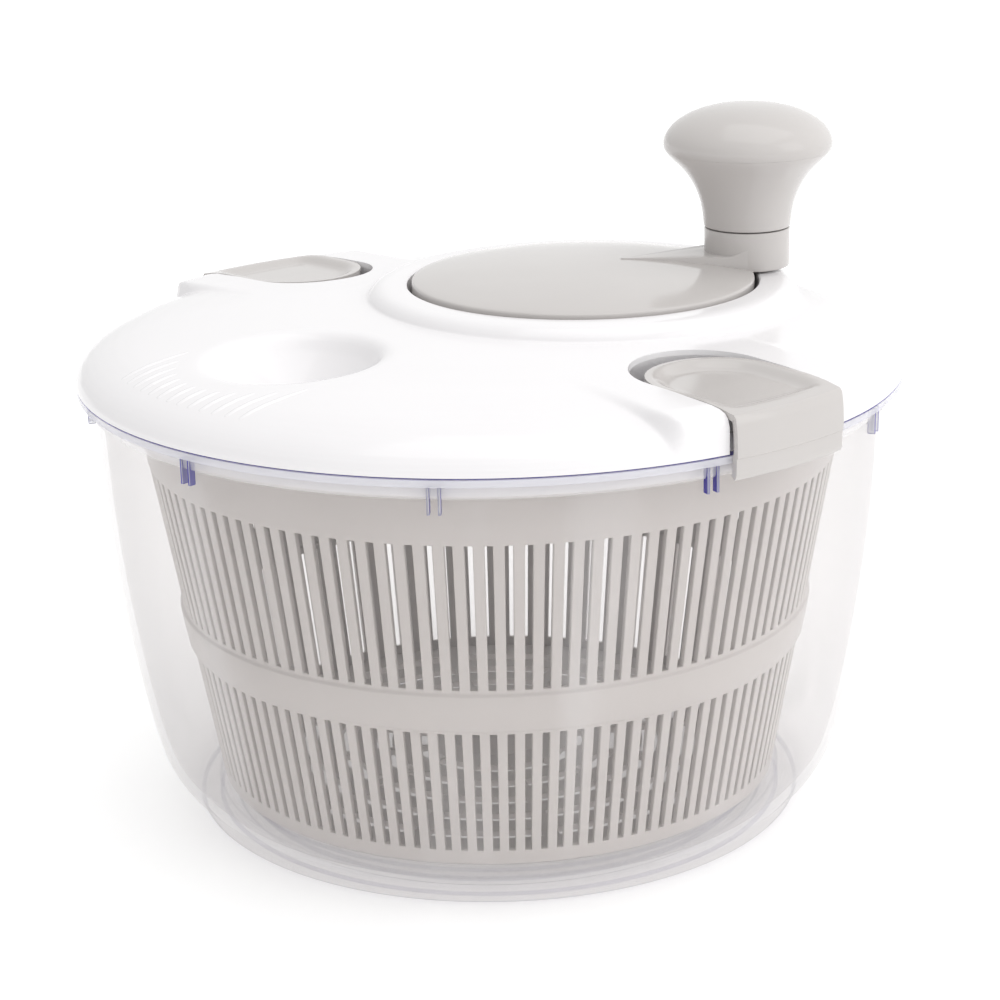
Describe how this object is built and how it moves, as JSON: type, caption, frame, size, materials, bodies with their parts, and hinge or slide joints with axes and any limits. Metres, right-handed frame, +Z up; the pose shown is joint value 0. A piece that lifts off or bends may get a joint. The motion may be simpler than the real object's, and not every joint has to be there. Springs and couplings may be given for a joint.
{
  "type": "salad spinner",
  "caption": "Hand-cranked salad spinner: a clear bowl with a slotted basket turned inside it by a geared crank in the lid, which two rim clips hold down.",
  "frame": {"origin": "on the bowl's axis, at the surface that the foot stands on", "axes": "+Z up along the bowl's axis, +X through the right-hand rim clip, +Y towards the crank, -Y towards the pouring dish"},
  "size_m": [0.2556, 0.25, 0.2074],
  "materials": {
    "clear_bowl": "clear polished plastic with a faint violet tint",
    "lid_white": "glossy white moulded plastic",
    "soft_grey": "satin warm grey moulded plastic",
    "basket_grey": "satin warm grey moulded plastic",
    "gear_cream": "unpolished bearing plastic",
    "steel": "plain zinc-coated steel"
  },
  "bodies": {
    "bowl": {"bowl": "clear_bowl"},
    "lid": {"lid_cover": "lid_white", "lid_underplate": "lid_white", "underplate_screw_1": "steel", "underplate_screw_2": "steel", "underplate_screw_3": "steel", "underplate_screw_4": "steel", "underplate_screw_5": "steel", "underplate_screw_6": "steel", "clip_pin_right": "steel", "clip_pin_left": "steel", "clip_spring_right": "steel", "clip_spring_left": "steel", "crank_bushing": "gear_cream"},
    "clip_right": {"clip_right": "soft_grey"},
    "clip_left": {"clip_left": "soft_grey"},
    "crank": {"crank_disc": "soft_grey", "ring_gear": "gear_cream", "gear_screw_1": "steel", "gear_screw_2": "steel", "gear_screw_3": "steel", "gear_screw_4": "steel", "crank_retainer": "steel", "crank_centre_screw": "steel", "knob_spindle": "steel", "knob_washer": "steel", "knob_screw": "steel"},
    "knob": {"knob_grip": "soft_grey", "knob_cap": "soft_grey"},
    "rotor": {"rotor": "lid_white", "pinion": "gear_cream", "rotor_washer": "steel", "rotor_screw": "steel"},
    "basket_carrier": {"pivot_bush": "gear_cream"},
    "basket": {"basket": "basket_grey"}
  },
  "joints": [
    {"name": "lid_lift", "type": "slide", "parent": "bowl", "child": "lid", "axis": [0, 0, 1], "range_m": [0, 0.3]},
    {"name": "clip_right_release", "type": "hinge", "parent": "lid", "child": "clip_right", "pos_m": [0.112, 0, 0.142], "axis": [0, -1, 0], "range_deg": [0, 10], "stiffness_Nm_per_rad": 0.3, "springref_deg": -8.59, "deforming": ["clip_spring_right"]},
    {"name": "clip_left_release", "type": "hinge", "parent": "lid", "child": "clip_left", "pos_m": [-0.112, 0, 0.142], "axis": [0, 1, 0], "range_deg": [0, 10], "stiffness_Nm_per_rad": 0.3, "springref_deg": -8.59, "deforming": ["clip_spring_left"]},
    {"name": "crank_turn", "type": "hinge", "parent": "lid", "child": "crank", "pos_m": [0, 0.0384, 0.15], "axis": [0, 0, 1], "continuous": true},
    {"name": "knob_spin", "type": "hinge", "parent": "crank", "child": "knob", "pos_m": [0.02303, 0.08779, 0.185], "axis": [0, 0, 1], "continuous": true},
    {"name": "rotor_spin", "type": "hinge", "parent": "lid", "child": "rotor", "pos_m": [0, 0, 0.127], "axis": [0, 0, 1], "continuous": true},
    {"name": "basket_lift", "type": "slide", "parent": "bowl", "child": "basket_carrier", "axis": [0, 0, 1], "range_m": [0, 0.135]},
    {"name": "basket_spin", "type": "hinge", "parent": "basket_carrier", "child": "basket", "pos_m": [0, 0, 0.015], "axis": [0, 0, 1], "continuous": true}
  ],
  "couplings": [
    {"joint": "rotor_spin", "follows": "crank_turn", "ratio": 5},
    {"joint": "basket_spin", "follows": "crank_turn", "ratio": 5},
    {"joint": "basket_lift", "follows": "lid_lift", "ratio": 0.45}
  ]
}
